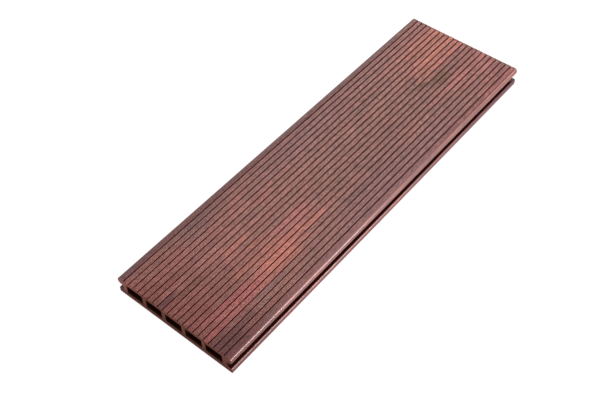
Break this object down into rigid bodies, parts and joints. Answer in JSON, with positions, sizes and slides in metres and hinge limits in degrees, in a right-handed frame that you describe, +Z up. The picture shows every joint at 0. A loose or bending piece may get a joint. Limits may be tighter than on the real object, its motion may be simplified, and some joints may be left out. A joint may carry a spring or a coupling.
{
  "type": "hollow decking board",
  "caption": "Hollow wood-plastic composite decking board with a ribbed walking face, clip slots in its long edges and open chambers through its length.",
  "frame": {"origin": "middle of the underside", "axes": "+X along the board's length, +Y across its width, +Z up through the ribbed walking face"},
  "size_m": [0.494, 0.147, 0.023],
  "materials": {
    "composite": "brushed, red-brown with darker and lighter streaks along its length"
  },
  "bodies": {
    "root": {"decking_board": "composite"}
  },
  "joints": []
}
